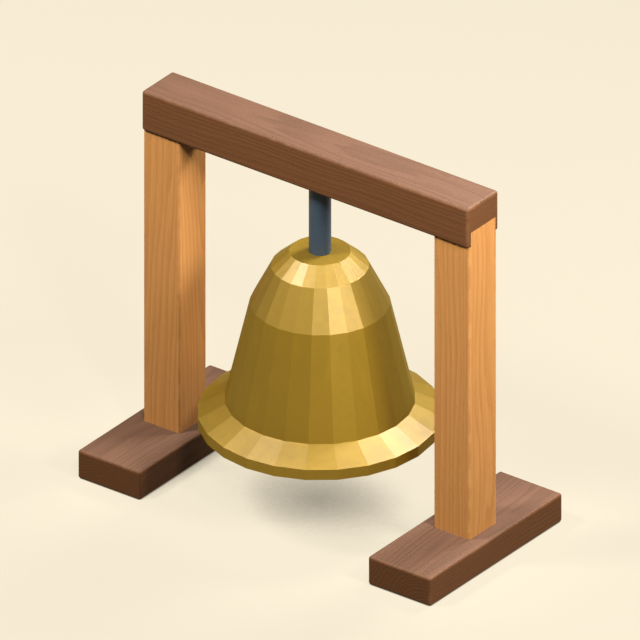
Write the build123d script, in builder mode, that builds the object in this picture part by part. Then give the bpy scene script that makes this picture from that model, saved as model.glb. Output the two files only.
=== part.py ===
from build123d import *
import math
import os

# Framed bell: a bell with flat facets, hung dead on a steel rod from a free-standing timber frame.
# Millimetres. X runs along the beam, Y along the feet, Z up. The origin is on the ground, below the bell.

# Timber frame
post_spacing = 1125.0
post_side = 140.0
post_height = 1036.0
post_arris = 7.0
foot_width = 242.0
foot_length = 684.0
foot_height = 100.0
foot_edge = 9.0
beam_depth = 160.0
beam_height = 140.0
beam_edge = 10.0

# Timber joints: each post's head fills an open housing in the beam, its tenon a blind mortise in the foot
head_height = 52.0
head_shoulder = 7.0
tenon_thickness = 50.0
tenon_width = 90.0
tenon_depth = 60.0
mortise_spare = 3.0

# Hanger rod: its upper end sits in a blind socket in the beam, its spigot goes through the bell's crown
rod_diameter = 70.0
rod_drop = 251.0
socket_depth = 90.0
spigot_diameter = 40.0

# Bell: the outside is a stack of tapered bands, the radii are those of the corners
bell_flats = 24
crown_radius = 95.5
shoulder_radius = 152.5
waist_top_radius = 218.0
waist_foot_radius = 296.7
lip_radius = 381.0
crown_rise = 50.0
shoulder_rise = 130.0
waist_rise = 343.0
flare_rise = 45.0
lip_height = 36.0

# Bell walls, measured level from the middle of a flat, and upright under the crown
crown_wall = 28.0
crown_edge_wall = 12.0
shoulder_wall = 30.0
waist_top_wall = 24.0
waist_foot_wall = 24.0
rim_land = 46.0

# Crown fixing
washer_diameter = 110.0
washer_thickness = 10.0
nut_across_flats = 60.0
nut_height = 32.0

# Clapper and the fork that carries it
fork_socket_depth = 20.0
fork_web = 12.0
fork_depth = 56.0
fork_cheek = 15.0
pin_diameter = 20.0
pin_head_diameter = 34.0
pin_head_thickness = 8.0
tongue_thickness = 26.0
tongue_width = 52.0
tongue_length = 58.0
tongue_headroom = 6.0
shaft_diameter = 32.0
ball_diameter = 104.0
ball_drop = 448.0
ball_bands = 6
tail_diameter = 34.0
tail_length = 42.0
tail_chamfer = 8.0

# Clearances
fit_clearance = 0.2
side_clearance = 0.5
cut_overrun = 5.0

# Heights that follow from the sizes above
foot_top = foot_height
beam_bottom = foot_top + post_height
crown_top = beam_bottom - rod_drop
shoulder_top = crown_top - crown_rise
waist_top = shoulder_top - shoulder_rise
waist_foot = waist_top - waist_rise
lip_top = waist_foot - flare_rise
mouth = lip_top - lip_height
crown_underside = crown_top - crown_wall
washer_underside = crown_underside - washer_thickness
nut_underside = washer_underside - nut_height
spigot_end = nut_underside - fork_socket_depth
fork_web_underside = spigot_end - fork_web
pin_axis = fork_web_underside - tongue_headroom - tongue_width / 2
shaft_top = pin_axis - tongue_length
ball_centre = pin_axis - ball_drop
tail_end = ball_centre - ball_diameter / 2 - tail_length

# Widths that follow from the sizes above
beam_length = post_spacing + post_side
head_width = post_side - 2 * head_shoulder
spigot_bore = spigot_diameter + 2 * fit_clearance
fork_slot = tongue_thickness + 2 * side_clearance
fork_width = fork_slot + 2 * fork_cheek
pin_bore = pin_diameter + 2 * fit_clearance

sides = {"left": -1, "right": 1}


def flat_distance(corner_radius):
    """Distance from the bell's axis to the middle of a flat, for a ring with the given corner radius."""
    return corner_radius * math.cos(math.pi / bell_flats)


def ball_ring(share):
    """Radius and height of the ring at a share of the way down the ball, from the shaft to the tail."""
    start = math.asin(shaft_diameter / ball_diameter)
    end = math.pi - math.asin(tail_diameter / ball_diameter)
    angle = start + (end - start) * share
    return math.sin(angle) * ball_diameter / 2, ball_centre + math.cos(angle) * ball_diameter / 2


os.makedirs("parts", exist_ok=True)

# Feet and posts, one of each at either end of the beam
for side, direction in sides.items():
    post_x = direction * post_spacing / 2

    with BuildPart() as foot:
        with BuildSketch():
            with Locations((post_x, 0)):
                Rectangle(foot_width, foot_length)
        extrude(amount=foot_height)
        fillet(foot.edges(), radius=foot_edge)
        with BuildSketch(Plane.XY.offset(foot_top)):
            with Locations((post_x, 0)):
                Rectangle(tenon_thickness, tenon_width)
        extrude(amount=-tenon_depth - mortise_spare, mode=Mode.SUBTRACT)
    foot.part.label = f"{side}_foot"
    export_step(foot.part, f"parts/{side}_foot.step")

    with BuildPart() as post:
        with BuildSketch(Plane.XY.offset(foot_top)):
            with Locations((post_x, 0)):
                RectangleRounded(post_side, post_side, post_arris)
        extrude(amount=post_height)
        with BuildSketch(Plane.XY.offset(beam_bottom)):
            with Locations((post_x, 0)):
                Rectangle(post_side, head_width)
        extrude(amount=head_height)
        with BuildSketch(Plane.XY.offset(foot_top)):
            with Locations((post_x, 0)):
                Rectangle(tenon_thickness, tenon_width)
        extrude(amount=-tenon_depth)
    post.part.label = f"{side}_post"
    export_step(post.part, f"parts/{side}_post.step")

# Beam, with an open housing at each end and a blind socket for the rod in its underside
with BuildPart() as beam:
    with BuildSketch(Plane.XY.offset(beam_bottom)):
        Rectangle(beam_length, beam_depth)
    extrude(amount=beam_height)
    fillet(beam.edges(), radius=beam_edge)
    with BuildSketch(Plane.XY.offset(beam_bottom + head_height)):
        housing_x = (post_spacing + cut_overrun) / 2
        with Locations((-housing_x, 0), (housing_x, 0)):
            Rectangle(post_side + cut_overrun, head_width)
    extrude(amount=-head_height - cut_overrun, mode=Mode.SUBTRACT)
    with BuildSketch(Plane.XY.offset(beam_bottom)):
        Circle(rod_diameter / 2 + fit_clearance)
    extrude(amount=socket_depth, mode=Mode.SUBTRACT)
beam.part.label = "beam"
export_step(beam.part, "parts/beam.step")

# Hanger rod, whose shoulder bears on the crown where the spigot starts
with BuildPart() as hanger_rod:
    with BuildSketch(Plane.XY.offset(crown_top)):
        Circle(rod_diameter / 2)
    extrude(amount=rod_drop + socket_depth)
    with BuildSketch(Plane.XY.offset(crown_top)):
        Circle(spigot_diameter / 2)
    extrude(amount=spigot_end - crown_top)
hanger_rod.part.label = "hanger_rod"
export_step(hanger_rod.part, "parts/hanger_rod.step")

# Bell: faceted outside, round inside, with the wall thickest at the lip where the clapper strikes
bell_rings = [
    (lip_radius, mouth),
    (lip_radius, lip_top),
    (waist_foot_radius, waist_foot),
    (waist_top_radius, waist_top),
    (shoulder_radius, shoulder_top),
    (crown_radius, crown_top),
]
core_rim = flat_distance(lip_radius) - rim_land
core_waist_foot = flat_distance(waist_foot_radius) - waist_foot_wall
core_waist_top = flat_distance(waist_top_radius) - waist_top_wall
core_shoulder = flat_distance(shoulder_radius) - shoulder_wall
core_crown = flat_distance(crown_radius) - crown_edge_wall

with BuildPart() as bell:
    for (low_radius, low), (high_radius, high) in zip(bell_rings, bell_rings[1:]):
        with BuildSketch(Plane.XY.offset(low)):
            RegularPolygon(low_radius, bell_flats)
        lean = math.atan2(flat_distance(low_radius) - flat_distance(high_radius), high - low)
        extrude(amount=high - low, taper=math.degrees(lean))
    with BuildSketch(Plane.XZ):
        with BuildLine():
            Polyline(
                (core_rim, mouth),
                (core_waist_foot, waist_foot),
                (core_waist_top, waist_top),
                (core_shoulder, shoulder_top),
                (core_crown, crown_underside),
                (0, crown_underside),
                (0, mouth),
                close=True,
            )
        make_face()
    revolve(axis=Axis.Z, mode=Mode.SUBTRACT)
    with Locations((0, 0, crown_top)):
        Hole(spigot_bore / 2, depth=crown_wall + cut_overrun)
bell.part.label = "bell"
export_step(bell.part, "parts/bell.step")

# Washer and nut under the crown
with BuildPart() as crown_washer:
    with BuildSketch(Plane.XY.offset(crown_underside)):
        Circle(washer_diameter / 2)
        Circle(spigot_bore / 2, mode=Mode.SUBTRACT)
    extrude(amount=-washer_thickness)
crown_washer.part.label = "crown_washer"
export_step(crown_washer.part, "parts/crown_washer.step")

with BuildPart() as crown_nut:
    with BuildSketch(Plane.XY.offset(washer_underside)):
        RegularPolygon(nut_across_flats / 2, 6, major_radius=False)
        Circle(spigot_bore / 2, mode=Mode.SUBTRACT)
    extrude(amount=-nut_height)
crown_nut.part.label = "crown_nut"
export_step(crown_nut.part, "parts/crown_nut.step")

# Fork on the end of the spigot, with the clapper's tongue between its cheeks
with BuildPart() as clapper_fork:
    with BuildSketch(Plane.YZ):
        with Locations((0, pin_axis)):
            Circle(fork_depth / 2)
            Rectangle(fork_depth, nut_underside - pin_axis, align=(Align.CENTER, Align.MIN))
    extrude(amount=fork_width / 2, both=True)
    with BuildSketch(Plane.XY.offset(fork_web_underside)):
        Rectangle(fork_slot, fork_depth + cut_overrun)
    extrude(amount=shaft_top - fork_web_underside, mode=Mode.SUBTRACT)
    with BuildSketch(Plane.YZ):
        with Locations((0, pin_axis)):
            Circle(pin_bore / 2)
    extrude(amount=fork_width, both=True, mode=Mode.SUBTRACT)
    with BuildSketch(Plane.XY.offset(nut_underside)):
        Circle(spigot_bore / 2)
    extrude(amount=-fork_socket_depth, mode=Mode.SUBTRACT)
clapper_fork.part.label = "clapper_fork"
export_step(clapper_fork.part, "parts/clapper_fork.step")

# Pin through the fork and the tongue, with a head formed at each end
with BuildPart() as clapper_pin:
    with BuildSketch(Plane.XZ):
        with Locations((0, pin_axis)):
            Rectangle(fork_width, pin_diameter / 2, align=(Align.CENTER, Align.MIN))
        for direction in sides.values():
            with Locations((direction * (fork_width + pin_head_thickness) / 2, pin_axis)):
                Rectangle(pin_head_thickness, pin_head_diameter / 2, align=(Align.CENTER, Align.MIN))
    revolve(axis=Axis((0, 0, pin_axis), (1, 0, 0)))
clapper_pin.part.label = "clapper_pin"
export_step(clapper_pin.part, "parts/clapper_pin.step")

# Clapper: a forged eye that narrows to the shaft, a ball turned in bands at the lip and a short tail
with BuildPart() as clapper:
    with BuildSketch(Plane.YZ):
        with Locations((0, pin_axis)):
            Circle(tongue_width / 2)
        with Locations((0, shaft_top)):
            Circle(shaft_diameter / 2)
        make_hull()
    extrude(amount=tongue_thickness / 2, both=True)
    with BuildSketch(Plane.XZ):
        with BuildLine():
            Polyline(
                (0, shaft_top),
                (shaft_diameter / 2, shaft_top),
                *[ball_ring(band / ball_bands) for band in range(ball_bands + 1)],
                (tail_diameter / 2, tail_end + tail_chamfer),
                (tail_diameter / 2 - tail_chamfer, tail_end),
                (0, tail_end),
                close=True,
            )
        make_face()
    revolve(axis=Axis.Z)
    with BuildSketch(Plane.YZ):
        with Locations((0, pin_axis)):
            Circle(pin_bore / 2)
    extrude(amount=tongue_thickness, both=True, mode=Mode.SUBTRACT)
clapper.part.label = "clapper"
export_step(clapper.part, "parts/clapper.step")
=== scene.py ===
import math

import bpy
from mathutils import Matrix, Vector


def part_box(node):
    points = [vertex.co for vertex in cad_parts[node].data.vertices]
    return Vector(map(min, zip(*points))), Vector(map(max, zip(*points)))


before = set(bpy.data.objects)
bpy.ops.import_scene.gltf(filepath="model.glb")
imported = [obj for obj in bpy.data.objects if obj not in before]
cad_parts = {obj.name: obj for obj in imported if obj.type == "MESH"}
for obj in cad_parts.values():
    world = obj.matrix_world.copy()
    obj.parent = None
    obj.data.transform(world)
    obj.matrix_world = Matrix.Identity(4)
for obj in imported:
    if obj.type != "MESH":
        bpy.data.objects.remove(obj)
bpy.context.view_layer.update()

X, Y, Z = range(3)

# Sockets of a node that mixes two colours
MIX_SHARE, MIX_FIRST, MIX_SECOND = 0, 6, 7
MIX_RESULT = 2

# Photograph: a parallel view from the front right and above
PICTURE_PIXELS = 640
METRES_PER_PIXEL = 0.0031
VIEW_AZIMUTH = math.atan2(3, 4)
VIEW_ELEVATION = math.atan(0.56)
VIEW_AIM = Vector((0, 0, 0.638))
CAMERA_DISTANCE = 6.0

# Directions of the picture, in which the lamps are placed
PICTURE_RIGHT = Vector((math.cos(VIEW_AZIMUTH), math.sin(VIEW_AZIMUTH), 0))
TOWARDS_CAMERA = Vector((math.sin(VIEW_AZIMUTH), -math.cos(VIEW_AZIMUTH), 0))
UP = Vector((0, 0, 1))

# Pale studio: colours are linear
CREAM = (0.94, 0.845, 0.66)
BACKGROUND_STRENGTH = 0.35
AMBIENT_COLOUR = (1.0, 1.0, 1.0, 1.0)
AMBIENT_STRENGTH = 0.06

# Floor: shares of the cream, least where the lamps are nearest, so that the lit floor looks even
FLOOR_SIZE = 40.0
FLOOR_LIT_SHARES = {"least": 0.075, "most": 0.637}
FLOOR_BRIGHTEST = 0.8 * (PICTURE_RIGHT + TOWARDS_CAMERA)
FLOOR_BRIGHT_REACH = 10.0
FLOOR_BOUNCE_SHARE = 0.02

# Glow of the floor by the share of open sky above it, which paints the shadow under the bell, and how far a
# cover above it counts
FLOOR_GLOW_WITH_PAINTED_SHADOW = {0.265: 0.22, 0.435: 0.83, 0.860: 0.82, 1.000: 0.755}
FLOOR_COVER_REACH = 0.8
FLOOR_COVER_SAMPLES = 32

# Lamps: metres to the right of the middle of the object, towards the camera and up, then diameter and watts
LAMPS = {
    "left_lamp": {"place": (-3.09, 0.73, 4.15), "size": 1.15, "power": 401},
    "right_lamp": {"place": (1.54, -0.84, 2.07), "size": 0.92, "power": 91},
    "key_lamp": {"place": (1.90, 2.08, 1.77), "size": 0.88, "power": 143},
    "back_lamp": {"place": (2.56, -2.10, 3.20), "size": 1.05, "power": 100},
    "front_lamp": {"place": (0.69, 3.93, 4.02), "size": 0.76, "power": 178},
}

# Noise: the span in which it lies nearly everywhere, and kinds with more and more fine waves
NOISE_SPAN = (0.2, 0.8)
SMOOTH = {"Detail": 1.0, "Roughness": 0.5}
PLAIN = {"Detail": 2.0, "Roughness": 0.5}
FINE = {"Detail": 3.0, "Roughness": 0.6}
RUGGED = {"Detail": 4.0, "Roughness": 0.65}

# Timber colours, linear: spring and summer wood of the rings, arrises lighter for wear and as a painted
# highlight, and a tint for painted light on the tops
DARK_TIMBER = {
    "spring": (0.1017, 0.0380, 0.0118),
    "summer": (0.0788, 0.0301, 0.0089),
    "worn_and_highlit": (0.1345, 0.0592, 0.0246),
    "painted_top_light": (1.15, 1.53, 2.88),
}
LIGHT_TIMBER = {
    "spring": (0.415, 0.183, 0.0506),
    "summer": (0.345, 0.145, 0.0375),
    "worn_and_highlit": (0.479, 0.231, 0.0709),
    "painted_top_light": (1.04, 1.15, 1.50),
}
# Slopes over which the faces that look up take the painted top light
PAINTED_TOP_LIGHT_SLOPES = (0.45, 0.95)

# Timber pieces: the pith lies beside the middle of the piece and leans a little from its grain
TIMBERS = {
    "beam": {"grain": X, "colours": DARK_TIMBER, "pith": (0.03, -0.13), "lean": (0.012, 0.020)},
    "left_foot": {"grain": Y, "colours": DARK_TIMBER, "pith": (-0.06, -0.09), "lean": (0.020, 0.030)},
    "right_foot": {"grain": Y, "colours": DARK_TIMBER, "pith": (0.08, -0.07), "lean": (-0.030, 0.020)},
    "left_post": {"grain": Z, "colours": LIGHT_TIMBER, "pith": (-0.10, 0.11), "lean": (0.020, -0.015)},
    "right_post": {"grain": Z, "colours": LIGHT_TIMBER, "pith": (-0.12, 0.08), "lean": (0.015, 0.020)},
}

# Timber figure: waves to the metre along the grain and across it, and the shade that each brings
TIMBER_WAVES = {
    "sway": (1.6, 5.0),
    "season": (0.8, 24.0),
    "fibre": (9.0, 330.0),
    "streak": (2.2, 46.0),
    "cloud": (1.3, 4.0),
    "pore": (28.0, 620.0),
}
TIMBER_SHADES = {"fibre": 0.06, "streak": 0.035, "cloud": 0.05, "pore": -0.10}
RING_WIDTH = 0.012
RING_SWAY = 0.009
RING_UNEVENNESS = 0.0054
SUMMER_RISE = (0.25, 0.85)
SUMMER_FALL = (0.90, 1.00)
SUMMER_SHARES = (0.35, 0.95)
PORE_SPAN = (0.66, 0.76)

# Timber surface: roughness of planed wood and what changes it, relief, and arrises lighter for wear and as
# a painted highlight
TIMBER_ROUGHNESS = {"plain": 0.63, "fibre": -0.06, "cloud": 0.03, "pore": 0.12, "worn_and_highlit": -0.08}
TIMBER_RELIEF = {"fibre": 0.6, "summer": 0.5, "pore": -0.7}
TIMBER_RELIEF_DEPTH = 0.0005
TIMBER_SPECULAR = 0.138
ARRIS_WEAR_AND_HIGHLIGHT_REACH = 0.014
ARRIS_WEAR_AND_HIGHLIGHT_SHARE = 0.75
ARRIS_PATCH_WAVES = (14.0, 14.0, 14.0)
ARRIS_PATCH_SPAN = (0.42, 0.62)

# Bell colours, linear
BELL_COLOUR = (0.266, 0.159, 0.0015)
BELL_PATINA = (0.221, 0.132, 0.0016)
BELL_BRIGHT = (0.319, 0.196, 0.0027)
BELL_INSIDE = (0.126, 0.077, 0.0035)
BELL_EDGE_TINT = (0.402, 0.467, 0.364)

# Bell figure: waves to the metre along the axes, and the share of patina or bright metal that each brings
BELL_WAVES = {
    "cloud": (5.0, 5.0, 3.5),
    "mottle": (42.0, 42.0, 42.0),
    "grain": (420.0, 420.0, 420.0),
    "run": (26.0, 26.0, 1.8),
    "patch": (15.0, 15.0, 15.0),
}
BELL_PATINA_SHARES = {"cloud": 0.55, "mottle": 0.30}
BELL_PATINA_SPANS = {"cloud": (0.35, 0.75), "mottle": (0.45, 0.80)}
BELL_RUN_SHARE = 0.35
BELL_RUN_SPAN = (0.55, 0.80)
BELL_PATCH_SPAN = (0.40, 0.65)

# Bell edges that are rubbed bright: heights of the rings where its bands meet
BELL_RINGS = (0.281, 0.317, 0.362, 0.705, 0.835, 0.885)
BELL_RUB_REACH = 0.005
BELL_RUB_SHARE = 0.5

# Bell inside: place across the axis times normal, which is below zero where a face looks towards the axis
BELL_INSIDE_SPAN = (-0.020, -0.005)

# Bell surface: roughness and clear wax on the upright sides and on the sloping shoulders, and relief
BELL_SHOULDER_SLOPES = (0.25, 0.50)
BELL_TOP_SLOPES = (0.50, 0.70)
BELL_ROUGHNESS = {"side": 0.606, "top": 0.679, "cloud": 0.035, "mottle": 0.03, "inside": 0.14}
BELL_WAX = {"side": 0.138, "shoulder": 0.250}
BELL_WAX_ROUGHNESS = 0.468
BELL_WAX_IOR = 2.45
BELL_RELIEF = {"grain": 0.3, "mottle": 0.5, "inside": 3.0}
BELL_RELIEF_DEPTH = 0.0003

# Painted steel: colours, linear, and waves to the metre
STEEL_PAINT = (0.027, 0.042, 0.058)
STEEL_RUBBED = (0.060, 0.070, 0.078)
STEEL_WAVES = {"peel": (260.0, 260.0, 260.0), "cloud": (16.0, 16.0, 6.0), "rub": (60.0, 60.0, 24.0)}
STEEL_SHADES = {"cloud": 0.08, "peel": 0.03}
STEEL_RUB_SPAN = (0.62, 0.72)
STEEL_RUB_SHARE = 0.35
STEEL_ROUGHNESS = {"plain": 0.48, "cloud": 0.04, "rub": -0.08}
STEEL_RELIEF_DEPTH = 0.00015
STEEL_SPECULAR = 0.25

# Forged iron: colours, linear, and waves to the metre
IRON_COLOUR = (0.030, 0.028, 0.027)
IRON_BRIGHT = (0.150, 0.140, 0.130)
IRON_WAVES = {"dent": (46.0, 46.0, 46.0), "scale": (120.0, 120.0, 120.0)}
IRON_DENT_SMOOTHNESS = 0.6
IRON_DENT_WEAR = 0.4
IRON_RUB_SPAN = (0.75, 0.95)
IRON_RUB_SHARE = 0.6
IRON_METALLIC = 0.85
IRON_ROUGHNESS = {"plain": 0.58, "scale": 0.08}
IRON_RELIEF = {"dent": 2.0, "scale": 0.5}
IRON_RELIEF_DEPTH = 0.0012


class Nodes:
    """A new material with one Principled shader, and short ways to add and join its nodes."""

    def __init__(self, name):
        self.material = bpy.data.materials.new(name)
        self.material.use_nodes = True
        self.tree = self.material.node_tree
        self.shader = self.tree.nodes["Principled BSDF"]
        coordinates = self.add("ShaderNodeTexCoord").outputs
        self.place = coordinates["Object"]
        self.normal = coordinates["Normal"]
        self.upward = self.add("ShaderNodeSeparateXYZ", {"Vector": self.normal}).outputs["Z"]
        self.axes = self.add("ShaderNodeSeparateXYZ", {"Vector": self.place}).outputs

    def join(self, node, sockets):
        for socket, value in sockets.items():
            if isinstance(value, bpy.types.NodeSocket):
                self.tree.links.new(value, node.inputs[socket])
            else:
                node.inputs[socket].default_value = value

    def add(self, kind, sockets=None, **settings):
        node = self.tree.nodes.new(kind)
        for setting, value in settings.items():
            setattr(node, setting, value)
        self.join(node, sockets or {})
        return node

    def math(self, operation, *values):
        return self.add("ShaderNodeMath", dict(enumerate(values)), operation=operation).outputs[0]

    def total(self, *values):
        result = values[0]
        for value in values[1:]:
            result = self.math("ADD", result, value)
        return result

    def product(self, *values):
        result = values[0]
        for value in values[1:]:
            result = self.math("MULTIPLY", result, value)
        return result

    def least(self, *values):
        result = values[0]
        for value in values[1:]:
            result = self.math("MINIMUM", result, value)
        return result

    def mix(self, share, first, second, blend="MIX"):
        sockets = {MIX_SHARE: share}
        for socket, value in ((MIX_FIRST, first), (MIX_SECOND, second)):
            sockets[socket] = value if isinstance(value, bpy.types.NodeSocket) else (*value, 1.0)
        mixed = self.add("ShaderNodeMix", sockets, data_type="RGBA", blend_type=blend)
        return mixed.outputs[MIX_RESULT]

    def stretch(self, waves):
        return self.add("ShaderNodeMapping", {"Vector": self.place, "Scale": waves}).outputs["Vector"]

    def noise(self, waves, kind=PLAIN):
        """Noise about the middle of its span, with a number of waves to the metre along each axis."""
        sockets = {"Vector": self.stretch(waves), "Scale": 1.0, **kind}
        return self.add("ShaderNodeTexNoise", sockets).outputs["Fac"]

    def ramp(self, value, span, start=0.0, end=1.0):
        """A smooth rise or fall from start to end, as the value crosses the span."""
        sockets = {"Value": value, "From Min": span[0], "From Max": span[1], "To Min": start, "To Max": end}
        return self.add("ShaderNodeMapRange", sockets, interpolation_type="SMOOTHSTEP").outputs["Result"]

    def swing(self, noise, amount):
        """Noise as a change about zero, by the amount to either side."""
        return self.ramp(noise, NOISE_SPAN, -amount, amount)

    def bump(self, height, depth):
        sockets = {"Height": height, "Strength": 1.0, "Distance": depth}
        return self.add("ShaderNodeBump", sockets).outputs["Normal"]

    def finish(self, sockets):
        self.join(self.shader, sockets)
        return self.material


def year_rings(nodes, low, high, piece, figure):
    """Share of summer wood: rings about the pith, which sway and are wider in some years."""
    grain = piece["grain"]
    middle = [(low[axis] + high[axis]) / 2 for axis in (X, Y, Z)]
    across = [axis for axis in (X, Y, Z) if axis != grain]
    squares = []
    for axis, beside, slope in zip(across, piece["pith"], piece["lean"]):
        tilted = nodes.math("MULTIPLY_ADD", nodes.axes[grain], -slope, nodes.axes[axis])
        offset = nodes.math("SUBTRACT", tilted, middle[axis] + beside - slope * middle[grain])
        squares.append(nodes.product(offset, offset))
    radius = nodes.total(
        nodes.math("SQRT", nodes.total(*squares)),
        nodes.swing(figure("sway", SMOOTH), RING_SWAY),
        nodes.swing(figure("season", SMOOTH), RING_UNEVENNESS),
    )
    year = nodes.math("FRACT", nodes.math("DIVIDE", radius, RING_WIDTH))
    return nodes.product(nodes.ramp(year, SUMMER_RISE), nodes.ramp(year, SUMMER_FALL, 1.0, 0.0))


def arris_nearness(nodes, low, high, axes):
    """1 at the edges of a box, falling to 0 at the reach of the wear and painted edge highlight, from two
    or three of its axes.
    """
    depths = []
    for axis in axes:
        from_low = nodes.math("SUBTRACT", nodes.axes[axis], low[axis])
        from_high = nodes.math("SUBTRACT", high[axis], nodes.axes[axis])
        depths.append(nodes.least(from_low, from_high))
    nearest = nodes.least(depths[0], depths[1])
    second = nodes.math("MAXIMUM", depths[0], depths[1])
    if len(depths) == 3:
        second = nodes.math("MAXIMUM", nearest, nodes.least(second, depths[2]))
    return nodes.ramp(second, (0.0, ARRIS_WEAR_AND_HIGHLIGHT_REACH), 1.0, 0.0)


def timber(name, piece):
    """Planed timber: yearly rings, fibres and pores along the grain, tops painted paler as painted light,
    and arrises lighter for wear and as a painted highlight.
    """
    nodes = Nodes(f"{name}_timber")
    low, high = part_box(name)
    colours = piece["colours"]

    def figure(part, kind=PLAIN):
        along, across = TIMBER_WAVES[part]
        return nodes.noise([along if axis == piece["grain"] else across for axis in (X, Y, Z)], kind)

    summer = year_rings(nodes, low, high, piece, figure)
    fibre = figure("fibre", FINE)
    streak = figure("streak")
    cloud = figure("cloud")
    pore = nodes.ramp(figure("pore", SMOOTH), PORE_SPAN)

    summer_share = nodes.product(summer, nodes.ramp(streak, NOISE_SPAN, *SUMMER_SHARES))
    colour = nodes.mix(summer_share, colours["spring"], colours["summer"])
    shade = nodes.total(
        nodes.swing(fibre, TIMBER_SHADES["fibre"]),
        nodes.swing(streak, TIMBER_SHADES["streak"]),
        nodes.swing(cloud, TIMBER_SHADES["cloud"]),
        nodes.product(pore, TIMBER_SHADES["pore"]),
        1.0,
    )
    colour = nodes.mix(1.0, colour, shade, "MULTIPLY")
    # Painted light: faces that look up are tinted paler and greyer, as if lit more
    colour = nodes.mix(nodes.ramp(nodes.upward, PAINTED_TOP_LIGHT_SLOPES), colour, colours["painted_top_light"], "MULTIPLY")

    # The ends of the posts are let into the beam and the feet, so they don't wear
    worn_axes = (X, Y) if piece["grain"] == Z else (X, Y, Z)
    # Arrises lighter in patches: partly wear, partly a painted highlight along the rounded edges
    patches = nodes.ramp(nodes.noise(ARRIS_PATCH_WAVES, FINE), ARRIS_PATCH_SPAN)
    worn_and_highlit = nodes.product(arris_nearness(nodes, low, high, worn_axes), patches, ARRIS_WEAR_AND_HIGHLIGHT_SHARE)
    colour = nodes.mix(worn_and_highlit, colour, colours["worn_and_highlit"])

    roughness = nodes.total(
        nodes.swing(fibre, TIMBER_ROUGHNESS["fibre"]),
        nodes.swing(cloud, TIMBER_ROUGHNESS["cloud"]),
        nodes.product(pore, TIMBER_ROUGHNESS["pore"]),
        nodes.product(worn_and_highlit, TIMBER_ROUGHNESS["worn_and_highlit"]),
        TIMBER_ROUGHNESS["plain"],
    )
    relief = nodes.total(
        nodes.product(fibre, TIMBER_RELIEF["fibre"]),
        nodes.product(summer, TIMBER_RELIEF["summer"]),
        nodes.product(pore, TIMBER_RELIEF["pore"]),
    )
    return nodes.finish({
        "Base Color": colour,
        "Roughness": roughness,
        "Specular IOR Level": TIMBER_SPECULAR,
        "Normal": nodes.bump(relief, TIMBER_RELIEF_DEPTH),
    })


def bell_inside(nodes):
    """1 on the faces that look towards the axis of the bell, and 0 on its outside."""
    radial = nodes.add("ShaderNodeCombineXYZ", {"X": nodes.axes["X"], "Y": nodes.axes["Y"]}).outputs[0]
    facing = nodes.add("ShaderNodeVectorMath", {0: radial, 1: nodes.normal}, operation="DOT_PRODUCT")
    return nodes.ramp(facing.outputs["Value"], BELL_INSIDE_SPAN, 1.0, 0.0)


def bell_rubbed(nodes):
    """Patches of bright metal along the edges where the bands of the bell meet."""
    gaps = [nodes.math("SUBTRACT", nodes.axes["Z"], height) for height in BELL_RINGS]
    nearest = nodes.least(*(nodes.math("ABSOLUTE", gap) for gap in gaps))
    nearness = nodes.ramp(nearest, (0.0, BELL_RUB_REACH), 1.0, 0.0)
    patches = nodes.ramp(nodes.noise(BELL_WAVES["patch"], FINE), BELL_PATCH_SPAN)
    return nodes.product(nearness, patches, BELL_RUB_SHARE)


def bell_metal():
    """Cast and dressed brass under clear wax: patina, bright runs and edges, and a rough dark inside."""
    nodes = Nodes("bell_brass")
    cloud = nodes.noise(BELL_WAVES["cloud"], FINE)
    mottle = nodes.noise(BELL_WAVES["mottle"], FINE)
    grain = nodes.noise(BELL_WAVES["grain"])
    run = nodes.ramp(nodes.noise(BELL_WAVES["run"]), BELL_RUN_SPAN, 0.0, BELL_RUN_SHARE)
    inside = bell_inside(nodes)

    patina = nodes.total(
        nodes.ramp(cloud, BELL_PATINA_SPANS["cloud"], 0.0, BELL_PATINA_SHARES["cloud"]),
        nodes.ramp(mottle, BELL_PATINA_SPANS["mottle"], 0.0, BELL_PATINA_SHARES["mottle"]),
    )
    colour = nodes.mix(patina, BELL_COLOUR, BELL_PATINA)
    colour = nodes.mix(run, colour, BELL_BRIGHT)
    colour = nodes.mix(bell_rubbed(nodes), colour, BELL_BRIGHT)
    colour = nodes.mix(inside, colour, BELL_INSIDE)

    roughness = nodes.total(
        nodes.ramp(nodes.upward, BELL_TOP_SLOPES, BELL_ROUGHNESS["side"], BELL_ROUGHNESS["top"]),
        nodes.swing(cloud, BELL_ROUGHNESS["cloud"]),
        nodes.swing(mottle, BELL_ROUGHNESS["mottle"]),
        nodes.product(inside, BELL_ROUGHNESS["inside"]),
    )
    mottle_depth = nodes.ramp(inside, (0.0, 1.0), BELL_RELIEF["mottle"], BELL_RELIEF["inside"])
    relief = nodes.total(nodes.product(grain, BELL_RELIEF["grain"]), nodes.product(mottle, mottle_depth))
    wax = nodes.ramp(nodes.upward, BELL_SHOULDER_SLOPES, BELL_WAX["side"], BELL_WAX["shoulder"])
    return nodes.finish({
        "Base Color": colour,
        "Metallic": 1.0,
        "Roughness": roughness,
        "Specular Tint": (*BELL_EDGE_TINT, 1.0),
        "Coat Weight": wax,
        "Coat Roughness": BELL_WAX_ROUGHNESS,
        "Coat IOR": BELL_WAX_IOR,
        "Normal": nodes.bump(relief, BELL_RELIEF_DEPTH),
    })


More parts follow.
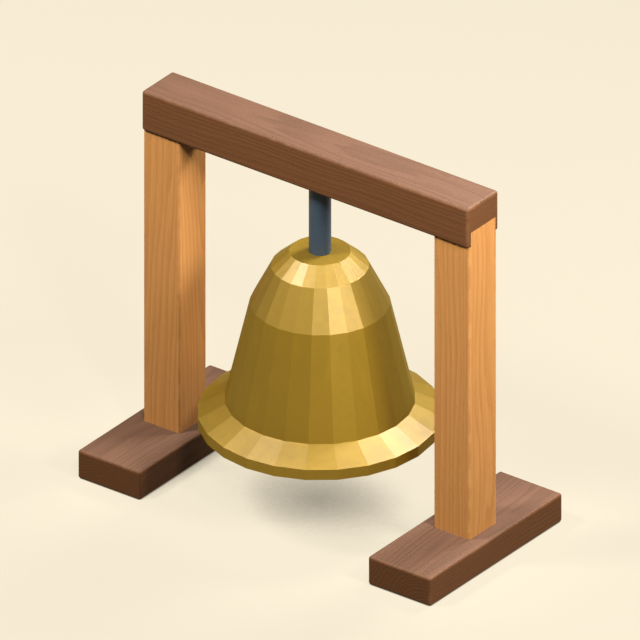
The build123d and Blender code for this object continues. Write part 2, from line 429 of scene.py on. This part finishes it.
def painted_steel():
    """Dark blue-grey paint, a little uneven, thin where it has been rubbed."""
    nodes = Nodes("steel_paint")
    peel = nodes.noise(STEEL_WAVES["peel"])
    cloud = nodes.noise(STEEL_WAVES["cloud"])
    rub = nodes.ramp(nodes.noise(STEEL_WAVES["rub"], RUGGED), STEEL_RUB_SPAN, 0.0, STEEL_RUB_SHARE)
    shade = nodes.total(
        nodes.swing(cloud, STEEL_SHADES["cloud"]),
        nodes.swing(peel, STEEL_SHADES["peel"]),
        1.0,
    )
    colour = nodes.mix(rub, nodes.mix(1.0, STEEL_PAINT, shade, "MULTIPLY"), STEEL_RUBBED)
    roughness = nodes.total(
        nodes.swing(cloud, STEEL_ROUGHNESS["cloud"]),
        nodes.product(rub, STEEL_ROUGHNESS["rub"]),
        STEEL_ROUGHNESS["plain"],
    )
    return nodes.finish({
        "Base Color": colour,
        "Roughness": roughness,
        "Specular IOR Level": STEEL_SPECULAR,
        "Normal": nodes.bump(nodes.math("SUBTRACT", peel, rub), STEEL_RELIEF_DEPTH),
    })


def forged_iron():
    """Black forged iron, dented by the hammer, with scale and a brighter skin where it is rubbed."""
    nodes = Nodes("clapper_iron")
    cells = {"Vector": nodes.stretch(IRON_WAVES["dent"]), "Scale": 1.0, "Smoothness": IRON_DENT_SMOOTHNESS}
    dent = nodes.add("ShaderNodeTexVoronoi", cells, feature="SMOOTH_F1").outputs["Distance"]
    scale = nodes.noise(IRON_WAVES["scale"], RUGGED)
    height = nodes.total(scale, nodes.product(dent, IRON_DENT_WEAR))
    rub = nodes.ramp(height, IRON_RUB_SPAN, 0.0, IRON_RUB_SHARE)
    relief = nodes.total(
        nodes.product(dent, IRON_RELIEF["dent"]),
        nodes.product(scale, IRON_RELIEF["scale"]),
    )
    return nodes.finish({
        "Base Color": nodes.mix(rub, IRON_COLOUR, IRON_BRIGHT),
        "Metallic": IRON_METALLIC,
        "Roughness": nodes.total(nodes.swing(scale, IRON_ROUGHNESS["scale"]), IRON_ROUGHNESS["plain"]),
        "Normal": nodes.bump(relief, IRON_RELIEF_DEPTH),
    })


def dress(material, *names):
    for name in names:
        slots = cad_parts[name].data.materials
        slots.clear()
        slots.append(material)


def dress_object():
    for name, piece in TIMBERS.items():
        dress(timber(name, piece), name)
    dress(bell_metal(), "bell")
    dress(painted_steel(), "hanger_rod", "crown_washer", "crown_nut", "clapper_fork", "clapper_pin")
    dress(forged_iron(), "clapper")


def cream(share=1.0):
    return (*(channel * share for channel in CREAM), 1.0)


def seen_rays(tree):
    """1 where a surface is looked at, straight or in a reflection, and 0 where it only lights others."""
    path = tree.nodes.new("ShaderNodeLightPath")
    seen = path.outputs["Is Camera Ray"]
    for ray in ("Is Glossy Ray", "Is Transmission Ray"):
        either = tree.nodes.new("ShaderNodeMath")
        either.operation = "MAXIMUM"
        tree.links.new(seen, either.inputs[0])
        tree.links.new(path.outputs[ray], either.inputs[1])
        seen = either.outputs[0]
    return seen


def mix_shaders(tree, share, first, second):
    choice = tree.nodes.new("ShaderNodeMixShader")
    tree.links.new(share, choice.inputs[0])
    tree.links.new(first.outputs[0], choice.inputs[1])
    tree.links.new(second.outputs[0], choice.inputs[2])
    return choice


def floor_colour(tree):
    """Cream, deepest where the lamps are nearest, so that the lit floor looks even."""
    away = tree.nodes.new("ShaderNodeVectorMath")
    away.operation = "SUBTRACT"
    tree.links.new(tree.nodes.new("ShaderNodeTexCoord").outputs["Object"], away.inputs[0])
    away.inputs[1].default_value = FLOOR_BRIGHTEST
    square = tree.nodes.new("ShaderNodeVectorMath")
    square.operation = "DOT_PRODUCT"
    tree.links.new(away.outputs["Vector"], square.inputs[0])
    tree.links.new(away.outputs["Vector"], square.inputs[1])
    share = tree.nodes.new("ShaderNodeMapRange")
    tree.links.new(square.outputs["Value"], share.inputs["Value"])
    share.inputs["From Max"].default_value = FLOOR_BRIGHT_REACH**2
    share.inputs["To Min"].default_value = FLOOR_LIT_SHARES["least"]
    share.inputs["To Max"].default_value = FLOOR_LIT_SHARES["most"]
    colour = tree.nodes.new("ShaderNodeVectorMath")
    colour.operation = "SCALE"
    colour.inputs[0].default_value = CREAM
    tree.links.new(share.outputs["Result"], colour.inputs["Scale"])
    return colour.outputs["Vector"]


def floor_glow_with_painted_shadow(tree):
    """An even glow that is lost below the bell, where the sky is covered: a painted shadow from an ambient
    occlusion node, not from the lamps.
    """
    cover = tree.nodes.new("ShaderNodeAmbientOcclusion")
    cover.samples = FLOOR_COVER_SAMPLES
    cover.inputs["Distance"].default_value = FLOOR_COVER_REACH
    # The ramp paints the shadow under the bell by dimming the glow where the cover is deep
    levels = tree.nodes.new("ShaderNodeValToRGB")
    tree.links.new(cover.outputs["AO"], levels.inputs["Fac"])
    stops = levels.color_ramp.elements
    while len(stops) < len(FLOOR_GLOW_WITH_PAINTED_SHADOW):
        stops.new(1.0)
    for stop, (open_sky, strength) in zip(stops, FLOOR_GLOW_WITH_PAINTED_SHADOW.items()):
        stop.position = open_sky
        stop.color = cream(strength)
    glow = tree.nodes.new("ShaderNodeEmission")
    tree.links.new(levels.outputs["Color"], glow.inputs["Color"])
    return glow


def floor_material():
    material = bpy.data.materials.new("floor")
    material.use_nodes = True
    tree = material.node_tree
    tree.nodes.remove(tree.nodes["Principled BSDF"])
    lit = tree.nodes.new("ShaderNodeBsdfDiffuse")
    tree.links.new(floor_colour(tree), lit.inputs["Color"])
    shown = tree.nodes.new("ShaderNodeAddShader")
    tree.links.new(lit.outputs[0], shown.inputs[0])
    tree.links.new(floor_glow_with_painted_shadow(tree).outputs[0], shown.inputs[1])
    bounce = tree.nodes.new("ShaderNodeBsdfDiffuse")
    bounce.inputs["Color"].default_value = cream(FLOOR_BOUNCE_SHARE)
    choice = mix_shaders(tree, seen_rays(tree), bounce, shown)
    tree.links.new(choice.outputs[0], tree.nodes["Material Output"].inputs["Surface"])
    return material


def make_floor():
    half = FLOOR_SIZE / 2
    corners = [(-half, -half, 0), (half, -half, 0), (half, half, 0), (-half, half, 0)]
    mesh = bpy.data.meshes.new("floor")
    mesh.from_pydata(corners, [], [(0, 1, 2, 3)])
    mesh.materials.append(floor_material())
    floor = bpy.data.objects.new("floor", mesh)
    bpy.context.scene.collection.objects.link(floor)


def make_world():
    world = bpy.data.worlds.new("studio")
    bpy.context.scene.world = world
    world.use_nodes = True
    tree = world.node_tree
    shown = tree.nodes["Background"]
    shown.inputs["Color"].default_value = cream()
    shown.inputs["Strength"].default_value = BACKGROUND_STRENGTH
    ambient = tree.nodes.new("ShaderNodeBackground")
    ambient.inputs["Color"].default_value = AMBIENT_COLOUR
    ambient.inputs["Strength"].default_value = AMBIENT_STRENGTH
    choice = mix_shaders(tree, seen_rays(tree), ambient, shown)
    tree.links.new(choice.outputs[0], tree.nodes["World Output"].inputs["Surface"])


def make_lamps():
    for name, lamp in LAMPS.items():
        light = bpy.data.lights.new(name, "AREA")
        light.shape = "DISK"
        light.size = lamp["size"]
        light.energy = lamp["power"]
        right, towards, up = lamp["place"]
        holder = bpy.data.objects.new(name, light)
        holder.location = VIEW_AIM + right * PICTURE_RIGHT + towards * TOWARDS_CAMERA + up * UP
        holder.rotation_euler = (VIEW_AIM - holder.location).to_track_quat("-Z", "Y").to_euler()
        bpy.context.scene.collection.objects.link(holder)


def make_camera():
    data = bpy.data.cameras.new("camera")
    data.type = "ORTHO"
    data.ortho_scale = PICTURE_PIXELS * METRES_PER_PIXEL
    camera = bpy.data.objects.new("camera", data)
    back = math.cos(VIEW_ELEVATION) * TOWARDS_CAMERA + math.sin(VIEW_ELEVATION) * UP
    camera.location = VIEW_AIM + CAMERA_DISTANCE * back
    camera.rotation_euler = back.to_track_quat("Z", "Y").to_euler()
    bpy.context.scene.collection.objects.link(camera)
    bpy.context.scene.camera = camera


make_camera()
make_floor()
make_world()
make_lamps()
dress_object()
bpy.context.scene.view_settings.view_transform = "Standard"
